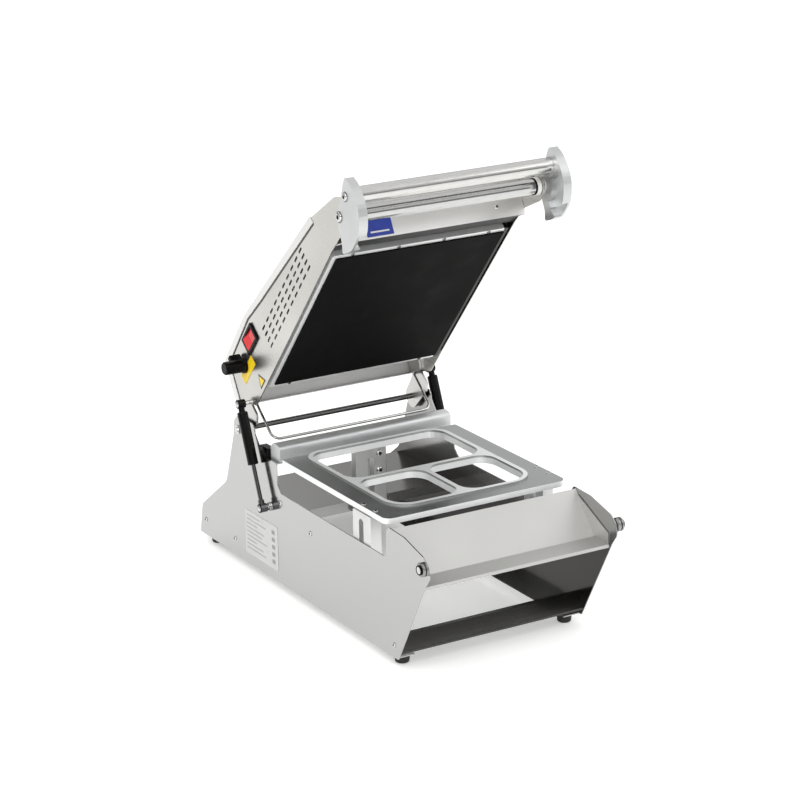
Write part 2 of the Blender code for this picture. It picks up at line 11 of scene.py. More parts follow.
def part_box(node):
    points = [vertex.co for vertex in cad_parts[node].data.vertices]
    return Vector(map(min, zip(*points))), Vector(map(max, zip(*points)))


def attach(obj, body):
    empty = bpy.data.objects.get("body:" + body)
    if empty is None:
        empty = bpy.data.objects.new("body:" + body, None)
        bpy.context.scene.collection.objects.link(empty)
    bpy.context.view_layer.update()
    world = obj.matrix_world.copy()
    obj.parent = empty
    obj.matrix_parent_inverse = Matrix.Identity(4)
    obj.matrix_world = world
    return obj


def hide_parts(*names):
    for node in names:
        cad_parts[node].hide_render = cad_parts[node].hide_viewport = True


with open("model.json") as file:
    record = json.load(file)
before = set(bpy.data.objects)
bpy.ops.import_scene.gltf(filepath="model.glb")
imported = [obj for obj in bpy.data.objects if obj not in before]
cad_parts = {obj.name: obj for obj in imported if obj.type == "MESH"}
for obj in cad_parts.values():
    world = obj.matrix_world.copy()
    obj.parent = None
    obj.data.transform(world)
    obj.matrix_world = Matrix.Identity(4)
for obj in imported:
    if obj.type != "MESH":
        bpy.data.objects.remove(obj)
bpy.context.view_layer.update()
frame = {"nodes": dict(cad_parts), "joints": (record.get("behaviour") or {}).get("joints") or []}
NODES = frame["nodes"]
JOINTS = {joint["name"]: joint for joint in frame["joints"]}
MM = 0.001


def corners(node):
    low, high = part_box(node)
    return Vector(low), Vector(high)


def middle(node):
    low, high = corners(node)
    return (low + high) / 2


HEAD_HINGE = Vector(JOINTS["head_hinge"]["pos_m"])
MID_X = middle("die_plate").x
PANEL_LEFT = corners("left_side_panel")[0].x
PANEL_RIGHT = corners("right_side_panel")[1].x
OPEN_ANGLE = math.radians(JOINTS["head_hinge"]["range_deg"][1])
# Turns and moves something drawn on the closed head to where the open head holds it
OPENED = (
    Matrix.Translation(HEAD_HINGE)
    @ Matrix.Rotation(-OPEN_ANGLE, 4, "X")
    @ Matrix.Translation(-HEAD_HINGE)
)
PLATE_LEFT = corners("head_left_plate")[0].x
SIDES = (("left", -1), ("right", 1))
NOSE_HEIGHT = middle("left_nose_roller").z
EVEN = (1, 1, 1)  # a noise that is stretched no way
FINE, LONG = 2600, 30  # a rolled sheet's grain: waves across it and along it
GRAIN_HEIGHT = 0.004 * MM


# Materials


class Nodes:
    """A material's node tree, with short ways to add what the finishes here need."""

    def __init__(self, name, colour, metallic, roughness):
        self.material = bpy.data.materials.new(name)
        self.material.use_nodes = True
        self.tree = self.material.node_tree
        self.shader = self.tree.nodes["Principled BSDF"]
        self.shader.inputs["Base Color"].default_value = (*colour, 1)
        self.shader.inputs["Metallic"].default_value = metallic
        self.shader.inputs["Roughness"].default_value = roughness
        self.colour = colour
        coordinates = self.tree.nodes.new("ShaderNodeTexCoord")
        self.place = coordinates.outputs["Object"]
        self.facing = coordinates.outputs["Normal"]

    def noise(self, scale, stretch=EVEN, detail=3.0):
        mapping = self.tree.nodes.new("ShaderNodeMapping")
        mapping.inputs["Scale"].default_value = stretch
        self.tree.links.new(self.place, mapping.inputs["Vector"])
        texture = self.tree.nodes.new("ShaderNodeTexNoise")
        texture.inputs["Scale"].default_value = scale
        texture.inputs["Detail"].default_value = detail
        self.tree.links.new(mapping.outputs["Vector"], texture.inputs["Vector"])
        return texture.outputs["Fac"]

    def spread(self, source, low, high, start=0.3, end=0.7):
        """source's start to end, spread over low to high."""
        node = self.tree.nodes.new("ShaderNodeMapRange")
        limits = (("From Min", start), ("From Max", end), ("To Min", low), ("To Max", high))
        for name, value in limits:
            node.inputs[name].default_value = value
        self.tree.links.new(source, node.inputs["Value"])
        return node.outputs["Result"]

    def split(self, vector):
        """A vector's outputs X, Y and Z."""
        node = self.tree.nodes.new("ShaderNodeSeparateXYZ")
        self.tree.links.new(vector, node.inputs["Vector"])
        return node.outputs

    def worked(self, operation, first, second):
        node = self.tree.nodes.new("ShaderNodeMath")
        node.operation = operation
        self.tree.links.new(first, node.inputs[0])
        self.tree.links.new(second, node.inputs[1])
        return node.outputs["Value"]

    def times(self, first, second):
        return self.worked("MULTIPLY", first, second)

    def add(self, first, second):
        return self.worked("ADD", first, second)

    def tint(self, factor, other):
        """Mixes the base colour towards another where factor is high."""
        mix = self.tree.nodes.new("ShaderNodeMix")
        mix.data_type = "RGBA"
        mix.inputs["A"].default_value = (*self.colour, 1)
        mix.inputs["B"].default_value = (*other, 1)
        self.tree.links.new(factor, mix.inputs["Factor"])
        self.tree.links.new(mix.outputs["Result"], self.shader.inputs["Base Color"])

    def rough(self, source):
        self.tree.links.new(source, self.shader.inputs["Roughness"])

    def metal(self, source):
        self.tree.links.new(source, self.shader.inputs["Metallic"])

    def bump(self, source, height, strength=1.0):
        node = self.tree.nodes.new("ShaderNodeBump")
        node.inputs["Distance"].default_value = height
        node.inputs["Strength"].default_value = strength
        self.tree.links.new(source, node.inputs["Height"])
        self.tree.links.new(node.outputs["Normal"], self.shader.inputs["Normal"])


def rolled_steel(name, colour, low, high, along, shade=0.86):
    """Sheet or bar with a fine grain along one way, and wiped patches that are a little duller."""
    made = Nodes(name, colour, 1.0, low)
    stretch = [FINE, FINE, FINE]
    stretch["XYZ".index(along)] = LONG
    grain = made.noise(1.0, stretch, 2.0)
    patches = made.noise(7.0, EVEN, 4.0)
    base = made.spread(patches, low, high)
    made.rough(made.add(base, made.spread(grain, -0.02, 0.03)))
    made.tint(made.spread(patches, 0.0, 1.0), [part * shade for part in colour])
    made.bump(grain, GRAIN_HEIGHT, 0.25)
    return made.material


def lined_steel(name, colour, inner, axis, inward, aloft=1.0, metallic=1.0, dull=0.12):
    """Rolled steel whose faces that look one way are painted another colour, as painted light or
    painted shade.

    inner is that face's painted colour, darker for painted shade and paler for painted light;
    axis and inward the way it looks and metallic what it shines like.
    aloft is how much of the painted colour it keeps above the noses, and dull the least roughness.
    """
    made = Nodes(name, colour, 1.0, 0.16)
    grain = made.noise(1.0, (FINE, LONG, FINE), 2.0)
    patches = made.noise(6.0, EVEN, 4.0)
    wiped = made.spread(patches, dull, dull + 0.1)
    made.rough(made.add(wiped, made.spread(grain, -0.02, 0.03)))
    facing = made.split(made.facing)[axis]
    painted_face = made.spread(facing, 0.0, 1.0, inward * 0.2, inward * 0.8)
    height = made.split(made.place)["Z"]
    painted_below_noses = made.spread(height, 1.0, aloft, NOSE_HEIGHT - 0.04, NOSE_HEIGHT - 0.01)
    made.metal(made.spread(painted_face, 1.0, metallic, 0.0, 1.0))
    # the faces that look the chosen way take the painted light or shade, fully below the noses
    made.tint(made.times(painted_face, painted_below_noses), inner)
    made.bump(grain, GRAIN_HEIGHT, 0.25)
    return made.material


def cast_aluminium(name, colour, other, low=0.38, high=0.55):
    """Milled plate: cloudy, with fine turned marks and a few rubbed spots."""
    made = Nodes(name, colour, 1.0, low)
    clouds = made.noise(14.0, EVEN, 6.0)
    marks = made.noise(1.0, (900, 30, 900), 2.0)
    pores = made.noise(1400.0, EVEN, 2.0)
    made.rough(made.add(made.spread(clouds, low, high), made.spread(pores, -0.04, 0.05)))
    made.tint(made.spread(clouds, 0.0, 1.0, 0.35, 0.75), other)
    made.bump(made.add(marks, pores), 0.00003, 0.5)
    return made.material


def moulded(name, colour, other, low, high, grain=2200.0, height=0.00003):
    """Plastic, rubber or paint: a fine skin with handling marks."""
    made = Nodes(name, colour, 0.0, low)
    smears = made.noise(22.0, EVEN, 5.0)
    skin = made.noise(grain, EVEN, 2.0)
    made.rough(made.spread(smears, low, high))
    made.tint(made.spread(smears, 0.0, 1.0, 0.45, 0.8), other)
    made.bump(skin, height, 0.6)
    return made.material


def die_metal(name, colour, rim, rim_from, rim_to):
    """Milled plate whose raised rim tops and sawn edges are paler and less metallic than its face;
    on the rim tops this is a painted highlight.
    """
    made = Nodes(name, colour, 1.0, 0.4)
    clouds = made.noise(11.0, EVEN, 6.0)
    marks = made.noise(1.0, (1600, 40, 1600), 2.0)
    chatter = made.noise(700.0, (1, 1, 0.25), 3.0)
    made.rough(made.add(made.spread(clouds, 0.34, 0.5), made.spread(marks, -0.04, 0.05)))
    height = made.split(made.place)["Z"]
    raised = made.spread(height, 0.0, 1.0, rim_from, rim_to)
    up = made.split(made.facing)["Z"]
    edge = made.spread(up, 1.0, 0.0, 0.35, 0.9)
    top = made.spread(up, 0.0, 1.0, 0.5, 0.9)
    lower = made.spread(height, 1.0, 0.0, rim_from - 1.2 * MM, rim_from - 0.6 * MM)
    rim_highlight_and_edges = made.add(made.times(raised, top), made.times(edge, lower))
    pale = made.spread(rim_highlight_and_edges, 0.0, 1.0, 0.0, 1.0)
    # rim tops that look up get a painted highlight; the side faces below the rims are paler too
    made.tint(pale, rim)
    made.metal(made.spread(pale, 1.0, 0.45, 0.0, 1.0))
    made.bump(made.add(made.times(chatter, edge), marks), 0.00008, 0.5)
    return made.material


def coated_rail(name, colour, coating, coated_from):
    """Pale metal that is coated beyond one X."""
    made = Nodes(name, colour, 1.0, 0.4)
    clouds = made.noise(14.0, EVEN, 6.0)
    made.rough(made.spread(clouds, 0.34, 0.5))
    across = made.split(made.place)["X"]
    coated = made.spread(across, 0.0, 1.0, coated_from, coated_from + 0.2 * MM)
    made.tint(coated, coating)
    made.metal(made.spread(coated, 0.55, 0.0, 0.0, 1.0))
    made.bump(clouds, 0.00002, 0.3)
    return made.material


def polished(name, colour, low=0.06, high=0.14):
    """Bright or satin bar, with wipe marks and hairline scratches round it."""
    made = Nodes(name, colour, 1.0, low)
    wipes = made.noise(30.0, EVEN, 4.0)
    scratch = made.noise(1.0, (60, 900, 900), 1.0)
    made.rough(made.spread(wipes, low, high))
    made.tint(made.spread(scratch, 0.0, 0.5), [part * 0.75 for part in colour])
    made.bump(wipes, 0.00001, 0.2)
    return made.material


def printed(name, colour, ink, lines):
    """A printed label whose ink is worn in patches; lines is how much of the other ink shows."""
    made = Nodes(name, colour, 0.0, 0.4)
    wear = made.noise(120.0, EVEN, 3.0)
    made.rough(made.spread(wear, 0.3, 0.5))
    made.tint(made.spread(wear, 0.0, lines, 0.5, 0.8), ink)
    made.bump(wear, 0.00001, 0.3)
    return made.material


# The side panels' inner faces are painted near black, a painted shade, fully below the noses and
# partly above
PANEL_FACE, PANEL_PAINTED_SHADE = (0.46, 0.46, 0.455), (0.09, 0.088, 0.084)
LEFT_PANEL = lined_steel("left_panel_stainless", PANEL_FACE, PANEL_PAINTED_SHADE, "X", 1, 0.45)
RIGHT_PANEL = lined_steel("right_panel_stainless", PANEL_FACE, PANEL_PAINTED_SHADE, "X", -1, 0.45)
# The rear cover's faces that look up are painted darker: painted shade
PANEL = lined_steel("cover_stainless", (0.55, 0.55, 0.54), (0.2, 0.198, 0.19), "Z", 1)
HEAD_STEEL = rolled_steel("head_stainless", (0.58, 0.57, 0.54), 0.22, 0.3, "Y")
FRONT_STEEL = rolled_steel("front_stainless", (0.52, 0.517, 0.505), 0.4, 0.48, "X", 0.95)
# The front crossbar is painted near black: a painted reflection of the shaded shelf above it
PAINTED_SHADE_STEEL = rolled_steel("painted_shade_stainless", (0.075, 0.074, 0.072), 0.2, 0.3, "X")
# The head cover's inner rear face is painted near white and hardly metallic: painted light, where it
# lies in shade
COVER_FACE, COVER_REAR_PAINTED_LIGHT = (0.72, 0.715, 0.7), (0.95, 0.95, 0.94)
COVER_STEEL = lined_steel(
    "head_cover_stainless", COVER_FACE, COVER_REAR_PAINTED_LIGHT, "Y", -1, metallic=0.1, dull=0.3
)
# The underside of the head's front lip is painted near black: painted shade
LIP_FACE, LIP_UNDERSIDE_PAINTED_SHADE = (0.78, 0.775, 0.76), (0.006, 0.006, 0.006)
LIPPED_STEEL = lined_steel(
    "head_front_stainless", LIP_FACE, LIP_UNDERSIDE_PAINTED_SHADE, "Z", -1, metallic=0.3, dull=0.34
)
BAR_STEEL = rolled_steel("bar_stainless", (0.60, 0.59, 0.57), 0.2, 0.32, "X")
SATIN = polished("satin_steel", (0.66, 0.655, 0.64), 0.13, 0.2)
SHAFT = rolled_steel("shaft_steel", (0.22, 0.22, 0.22), 0.12, 0.2, "X")
LATCH_SATIN = cast_aluminium("latch_aluminium", (0.62, 0.63, 0.63), (0.55, 0.56, 0.56), 0.34, 0.44)
RIM_TOP = corners("die_plate")[1].z
DIE_FACE, DIE_RIM_HIGHLIGHT = (0.43, 0.44, 0.435), (0.86, 0.87, 0.87)
DIE = die_metal("die_aluminium", DIE_FACE, DIE_RIM_HIGHLIGHT, RIM_TOP - 2 * MM, RIM_TOP - 0.8 * MM)
GUIDE = cast_aluminium("guide_aluminium", (0.78, 0.79, 0.79), (0.66, 0.675, 0.68), 0.42, 0.55)
# The heating frame's right rail is coated black, as its face is in the photograph
RAIL_FROM = MID_X + 129 * MM
HEATER_EDGE = coated_rail("heater_edge", (0.86, 0.865, 0.86), (0.004, 0.004, 0.004), RAIL_FROM)
RAW = cast_aluminium("raw_aluminium", (0.66, 0.665, 0.66), (0.55, 0.555, 0.55), 0.32, 0.5)
ROLLER = cast_aluminium("roller_aluminium", (0.34, 0.34, 0.335), (0.24, 0.24, 0.24), 0.26, 0.36)
NONSTICK = moulded(
    "nonstick_coating", (0.003, 0.003, 0.003), (0.006, 0.006, 0.006), 0.5, 0.66, 1600.0
)
BLACK_PAINT = moulded("black_paint", (0.002, 0.002, 0.002), (0.004, 0.004, 0.004), 0.12, 0.2)
BLACK = moulded("black_plastic", (0.002, 0.002, 0.002), (0.005, 0.005, 0.005), 0.2, 0.32)
WHITE = moulded("white_plastic", (0.82, 0.82, 0.8), (0.7, 0.7, 0.67), 0.35, 0.5)
RED = moulded("red_plastic", (0.72, 0.02, 0.025), (0.6, 0.01, 0.015), 0.14, 0.22, 900.0, 0.00001)
RUBBER = moulded("rubber", (0.008, 0.008, 0.008), (0.03, 0.03, 0.028), 0.6, 0.8, 1200.0, 0.00006)
CHROME = polished("chrome", (0.62, 0.62, 0.62))
PIVOT_CHROME = polished("pivot_steel", (0.58, 0.58, 0.57), 0.09, 0.15)
ROD_CHROME = polished("rod_chrome", (0.12, 0.12, 0.125), 0.08, 0.16)
BOARD = moulded("fibre_board", (0.5, 0.46, 0.38), (0.4, 0.36, 0.3), 0.8, 0.95, 700.0, 0.0001)
YELLOW = printed("yellow_label", (0.86, 0.6, 0.01), (0.74, 0.52, 0.01), 0.5)
BLUE = printed("blue_label", (0.015, 0.035, 0.26), (0.03, 0.06, 0.32), 0.5)
PALE_LABEL = printed("pale_label", (0.58, 0.585, 0.58), (0.5, 0.505, 0.5), 0.6)
# The screw sockets are painted near black: painted shade in the recess
SOCKET_PAINTED_SHADE = moulded("screw_socket_painted_shade", (0.012, 0.012, 0.012), (0.03, 0.03, 0.03), 0.3, 0.45)
FAINT_INK = moulded("faint_ink", (0.26, 0.26, 0.26), (0.36, 0.36, 0.36), 0.4, 0.5)
# Black ink for the printed tags, also the painted shadow strips under the head cover
INK_AND_PAINTED_SHADOW = moulded("label_ink_and_painted_shadow", (0.03, 0.03, 0.03), (0.06, 0.06, 0.06), 0.4, 0.5)
# The front panel reflects a pale room, and the dark pieces hardly reflect at all
FRONT_STEEL.node_tree.nodes["Principled BSDF"].inputs["Metallic"].default_value = 0.7
for dark, specular in ((NONSTICK, 0.05), (BLACK_PAINT, 0.16), (BLACK, 0.1)):
    dark.node_tree.nodes["Principled BSDF"].inputs["Specular IOR Level"].default_value = specular


def paint(material, *names):
    for name in names:
        slots = NODES[name].data.materials
        slots.clear()
        slots.append(material)


def both(name):
    """The left and the right node of a pair."""
    return [name.format(side) for side, _ in SIDES]


paint(LEFT_PANEL, "left_side_panel")
paint(RIGHT_PANEL, "right_side_panel")
paint(PANEL, "rear_cover")
paint(HEAD_STEEL, *both("head_{}_plate"))
paint(COVER_STEEL, "head_cover")
paint(LIPPED_STEEL, "head_front_panel")
paint(FRONT_STEEL, "front_panel")
paint(PAINTED_SHADE_STEEL, "front_crossbar")
paint(BAR_STEEL, "front_head_bar", "rear_head_bar", *both("head_{}_arm"))
paint(SATIN, "grip_tube", "thermostat_body", "heating_element")
paint(SHAFT, "hinge_shaft")
paint(LATCH_SATIN, *both("{}_latch_plate"))
paint(DIE, "die_plate")
paint(GUIDE, "film_guide_bar")
paint(HEATER_EDGE, "heater_frame")
paint(RAW, "rear_die_post", *both("front_{}_die_post"))
paint(ROLLER, *both("{}_nose_roller"))
paint(NONSTICK, "heating_plate")
paint(BLACK_PAINT, *both("{}_strut_cylinder"))
paint(BLACK, "cable_gland", "film_stop_block", "switch_housing", "thermostat_knob")
paint(WHITE, *both("{}_latch_washer"))
paint(RED, "switch_rocker")
paint(RUBBER, *both("front_{}_foot"), *both("rear_{}_foot"))
paint(PIVOT_CHROME, "latch_pivot_tube", "wire_bail")
paint(CHROME, *both("{}_hinge_nut"), *both("{}_roller_bolt"))
paint(CHROME, *both("{}_lower_stud"), *both("{}_upper_stud"), *both("{}_latch_screw"))
paint(CHROME, *both("{}_grip_screw"))
paint(ROD_CHROME, *both("{}_strut_rod"))
paint(BOARD, "insulation_board")

SMOOTH = math.radians(32)
# The width in mm of the eased edge of the thick nodes
EASED = {
    "die_plate": 0.4,
    "left_latch_plate": 0.7,
    "right_latch_plate": 0.7,
    "heater_frame": 0.5,
    "film_guide_bar": 0.5,
    "heating_plate": 0.5,
    "film_stop_block": 0.6,
    "rear_die_post": 0.4,
}
for name, node in NODES.items():
    node.data.shade_smooth()
    node.data.set_sharp_from_angle(angle=SMOOTH)
for name, width in EASED.items():
    eased = NODES[name].modifiers.new("eased", "BEVEL")
    eased.width = width * MM
    eased.segments = 2
    eased.limit_method = "ANGLE"
    eased.angle_limit = math.radians(40)
    eased.harden_normals = True


# Pieces


def piece(name, mesh, material, body):
    """A mesh that is already in place, as a piece that rides on a body."""
    data = bpy.data.meshes.new(name)
    bmesh.ops.recalc_face_normals(mesh, faces=mesh.faces)
    mesh.to_mesh(data)
    mesh.free()
    data.shade_smooth()
    data.set_sharp_from_angle(angle=SMOOTH)
    data.materials.append(material)
    obj = bpy.data.objects.new(name, data)
    bpy.context.scene.collection.objects.link(obj)
    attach(obj, body)
    return obj


def lathe(profile, steps):
    """A closed mesh from (radius, height) pairs that start and end on the axis."""
    made = bmesh.new()
    rings = []
    for radius, height in profile:
        if radius == 0:
            rings.append([made.verts.new((0, 0, height))])
            continue
        ring = []
        for step in range(steps):
            turn = 2 * math.pi * step / steps
            ring.append(made.verts.new((radius * math.cos(turn), radius * math.sin(turn), height)))
        rings.append(ring)
    for lower, upper in zip(rings, rings[1:]):
        for step in range(steps):
            after = (step + 1) % steps
            if len(lower) == 1:
                made.faces.new((lower[0], upper[step], upper[after]))
            elif len(upper) == 1:
                made.faces.new((lower[step], lower[after], upper[0]))
            else:
                made.faces.new((lower[step], lower[after], upper[after], upper[step]))
    return made


def aimed(place, direction):
    """The matrix that puts a mesh drawn up +Z at place, pointing a way."""
    turn = Vector((0, 0, 1)).rotation_difference(Vector(direction)).to_matrix().to_4x4()
    return Matrix.Translation(place) @ turn


def socket_screw(name, place, direction, radius, height, body, material=CHROME):
    """A button-head screw with a hexagon socket, its head standing on place."""
    steps = 36
    hexagon, deep = radius * 0.5, height * 0.55
    dome = lathe(
        [
            (0, 0),
            (radius, 0),
            (radius, height * 0.25),
            (radius * 0.93, height * 0.6),
            (radius * 0.72, height * 0.92),
            (radius * 0.6, height),
        ],
        steps,
    )
    rim = [v for v in dome.verts if abs(v.co.z - height) < 1e-7]
    wall = []
    for level in (height, height - deep):
        wall.append([])
        for step in range(steps):
            turn = 2 * math.pi * step / steps
            past_flat = turn % (math.pi / 3) - math.pi / 6
            reach = hexagon * math.cos(math.pi / 6) / math.cos(past_flat)
            wall[-1].append(dome.verts.new((reach * math.cos(turn), reach * math.sin(turn), level)))
    for step in range(steps):
        after = (step + 1) % steps
        dome.faces.new((rim[step], rim[after], wall[0][after], wall[0][step]))
        socket = dome.faces.new((wall[0][step], wall[0][after], wall[1][after], wall[1][step]))
        # the socket's walls and floor take the second material, its painted shade
        socket.material_index = 1
    dome.faces.new(wall[1]).material_index = 1
    dome.transform(aimed(place, direction))
    screw = piece(name, dome, material, body)
    screw.data.materials.append(SOCKET_PAINTED_SHADE)
    return screw


def band(name, place, direction, radius, thick, body, material):
    """A ring of round section, thick across from its middle, round a circle of one radius."""
    made = bmesh.new()
    around, across = 48, 10
    rings = []
    for step in range(around):
        turn = 2 * math.pi * step / around
        out = Vector((math.cos(turn), math.sin(turn), 0))
        ring = []
        for part in range(across):
            angle = 2 * math.pi * part / across
            rise = Vector((0, 0, thick * math.sin(angle)))
            ring.append(made.verts.new(out * (radius + thick * math.cos(angle)) + rise))
        rings.append(ring)
    for step in range(around):
        here, after = rings[step], rings[(step + 1) % around]
        for part in range(across):
            on = (part + 1) % across
            made.faces.new((here[part], after[part], after[on], here[on]))
    made.transform(aimed(place, direction))
    return piece(name, made, material, body)


def sticker(name, outline, thick, matrix, material, body):
    """A thin plate through (x, y) points, laid by a matrix with its face up its Z."""
    made = bmesh.new()
    low = [made.verts.new((x, y, 0)) for x, y in outline]
    high = [made.verts.new((x, y, thick)) for x, y in outline]
    made.faces.new(low[::-1])
    made.faces.new(high)
    for index in range(len(outline)):
        after = (index + 1) % len(outline)
        made.faces.new((low[index], low[after], high[after], high[index]))
    made.transform(matrix)
    return piece(name, made, material, body)


def card(width, height, radius=0.001, steps=4):
    """The outline of a rectangle with round corners, its middle at 0, 0."""
    outline = []
    for quarter, (a, b) in enumerate(((1, 1), (-1, 1), (-1, -1), (1, -1))):
        for step in range(steps + 1):
            turn = math.pi / 2 * (quarter + step / steps)
            x = a * (width / 2 - radius) + radius * math.cos(turn)
            y = b * (height / 2 - radius) + radius * math.sin(turn)
            outline.append((x, y))
    return outline


def on_left(x, y, z):
    """Lays a label on a face that looks to -X: its width runs towards -Y and its height up."""
    turned = Matrix(((0, 0, -1, 0), (-1, 0, 0, 0), (0, 1, 0, 0), (0, 0, 0, 1)))
    return Matrix.Translation((x, y, z)) @ turned


def on_right(x, y, z):
    """The same on a face that looks to +X, its width towards +Y."""
    turned = Matrix(((0, 0, 1, 0), (1, 0, 0, 0), (0, 1, 0, 0), (0, 0, 0, 1)))
    return Matrix.Translation((x, y, z)) @ turned


SKIN = 0.15 * MM  # how far a label or a screw's head stands off what it is on
LABEL = 0.3 * MM  # a label's thickness
PRINT = 0.08 * MM  # the thickness of what is printed on it


# Base trim


def base_screws():
    """Five screws on each side panel: (Y, Z)."""
    low, high = corners("left_side_panel")
    front, rear = low.y, high.y
    places = (
        (rear - 0.0195, 0.036),
        (rear - 0.1125, 0.0355),
        (front + 0.3145, 0.115),
        (front + 0.0915, 0.030),
        (front + 0.3995, 0.1336),
    )
    for side, sign in SIDES:
        x = PANEL_LEFT - SKIN if sign < 0 else PANEL_RIGHT + SKIN
        for number, (y, z) in enumerate(places):
            name = "{}_panel_screw_{}".format(side, number)
            socket_screw(name, (x, y, z), (sign, 0, 0), 0.0036, 0.0014, "base")


def rating_label():
    """A pale plate with plain lines and cells, where the maker's data would be."""
    low, high = corners("left_side_panel")
    thick = 0.2 * MM
    matrix = on_left(PANEL_LEFT - SKIN, high.y - 0.196, low.z + 0.048)
    sticker("rating_label", card(0.098, 0.066, 0.003), thick, matrix, PALE_LABEL, "base")
    longest, line_gap, cell_gap = 0.064, 0.0062, 0.011
    for row, share in enumerate((0.62, 0.9, 0.5, 0.82, 0.7, 0.95, 0.45, 0.76, 0.88)):
        width = longest * share
        across = -0.012 - (longest - width) / 2
        shift = Matrix.Translation((across, 0.026 - line_gap * row, thick))
        name = "rating_line_{}".format(row)
        sticker(name, card(width, 0.0013, 0.0003), PRINT, matrix @ shift, FAINT_INK, "base")
    for row in range(5):
        shift = Matrix.Translation((0.036, 0.022 - cell_gap * row, thick))
        name = "rating_cell_{}".format(row)
        sticker(name, card(0.009, 0.006, 0.0006), PRINT, matrix @ shift, FAINT_INK, "base")


def roller_trim():
    """A rubber ring sunk in each nose roller, and a black one round its bolt's head."""
    for side, sign in SIDES:
        low, high = corners(side + "_nose_roller")
        centre = (low + high) / 2
        ring = (high.z - low.z) / 2 - 1.1 * MM
        band(side + "_roller_ring", centre, (1, 0, 0), ring, 0.0010, side + "_roller", RUBBER)
        bolt_low, bolt_high = corners(side + "_roller_bolt")
        face = bolt_low.x if sign < 0 else bolt_high.x
        place = Vector((face - sign * 0.6 * MM, centre.y, centre.z))
        band(side + "_bolt_ring", place, (1, 0, 0), 0.0056, 0.0011, "base", BLACK)


# Head trim


def head_labels():
    """A plain yellow tag and a black-edged plain triangle, on the head's left side."""
    hinge_y, hinge_z = HEAD_HINGE.y, HEAD_HINGE.z
    face = PLATE_LEFT - SKIN
    matrix = OPENED @ on_left(face, hinge_y - 0.0895, hinge_z + 0.040)
    sticker("yellow_tag", card(0.049, 0.016, 0.0015), LABEL, matrix, YELLOW, "head")
    triangle = [(-0.0105, -0.009), (0.0105, -0.009), (0, 0.009)]
    matrix = OPENED @ on_left(face, hinge_y - 0.110, hinge_z + 0.009)
    sticker("triangle_tag", triangle, LABEL, matrix, INK_AND_PAINTED_SHADOW, "head")
    inner = [(x * 0.72, y * 0.72 - 0.0009) for x, y in triangle]
    matrix = matrix @ Matrix.Translation((0, 0, LABEL))
    sticker("triangle_tag_face", inner, 0.1 * MM, matrix, YELLOW, "head")


def heater_screws():
    """Screws through the heating frame's edge, seen from below."""
    y_front, y_rear = -0.2178, 0.0756
    z = HEAD_HINGE.z - 0.0063 - SKIN
    spots = [(x, y_front) for x in (-0.105, -0.035, 0.035, 0.105)]
    spots += [(x, y_rear) for x in (-0.105, 0.105)]
    way = OPENED.to_3x3() @ Vector((0, 0, -1))
    for number, (x, y) in enumerate(spots):
        place = OPENED @ Vector((MID_X + x, y, z))
        socket_screw("heater_screw_{}".format(number), place, way, 0.0028, 0.0012, "head", SHAFT)


# The lower edge of the head cover's side strips, closed, from the hinge: (back, up)
COVER_EDGE = (
    (-0.4128, 0.0488),
    (-0.205, 0.077),
    (-0.149, 0.086),
    (-0.050, 0.0815),
    (-0.0285, 0.024),
)
# the width of the painted shadow strip under the head cover's edge
PAINTED_SHADOW_WIDTH = 2.8 * MM


def cover_seams():
    """A painted shadow: a thin black strip in the gap under the edge of the head cover, on both side
    plates.
    """
    plate_middle = Vector((-0.15, 0.0))
    lower = [Vector(point) for point in COVER_EDGE]
    inner = []
    for index, here in enumerate(lower):
        run = (lower[min(index + 1, len(lower) - 1)] - lower[max(index - 1, 0)]).normalized()
        across = Vector((run.y, -run.x))
        if across.dot(plate_middle - here) < 0:
            across = -across
        inner.append(here + across * PAINTED_SHADOW_WIDTH)
    outline = lower + inner[::-1]
    for side, sign in SIDES:
        plate = corners("head_{}_plate".format(side))
        face = plate[0].x - SKIN if sign < 0 else plate[1].x + SKIN
        lay = on_left if sign < 0 else on_right
        points = [(sign * back, up) for back, up in outline]
        matrix = OPENED @ lay(face, HEAD_HINGE.y, HEAD_HINGE.z)
        sticker("{}_cover_painted_shadow".format(side), points, 0.1 * MM, matrix, INK_AND_PAINTED_SHADOW, "head")


def cover_screws():
    """Screws that hold the head cover and the rear cover, seen from behind."""
    top, foot = Vector((0, 0.1486, 0.3006)), Vector((0, 0.1712, 0.2365))  # the cover's rear, closed
    down = (foot - top).normalized()
    out = Vector((0, -down.z, down.y))
    way = OPENED.to_3x3() @ out
    for number, x in enumerate((-0.118, 0.118)):
        place = OPENED @ (top + down * 0.034 + out * SKIN * 2 + Vector((MID_X + x, 0, 0)))
        socket_screw("cover_screw_{}".format(number), place, way, 0.0042, 0.0020, "head")
    low, high = corners("rear_cover")
    for number, x in enumerate((-0.124, 0.124)):
        place = (MID_X + x, high.y + SKIN, low.z + 0.010)
        socket_screw("rear_cover_screw_{}".format(number), place, (0, 1, 0), 0.0040, 0.0018, "base")


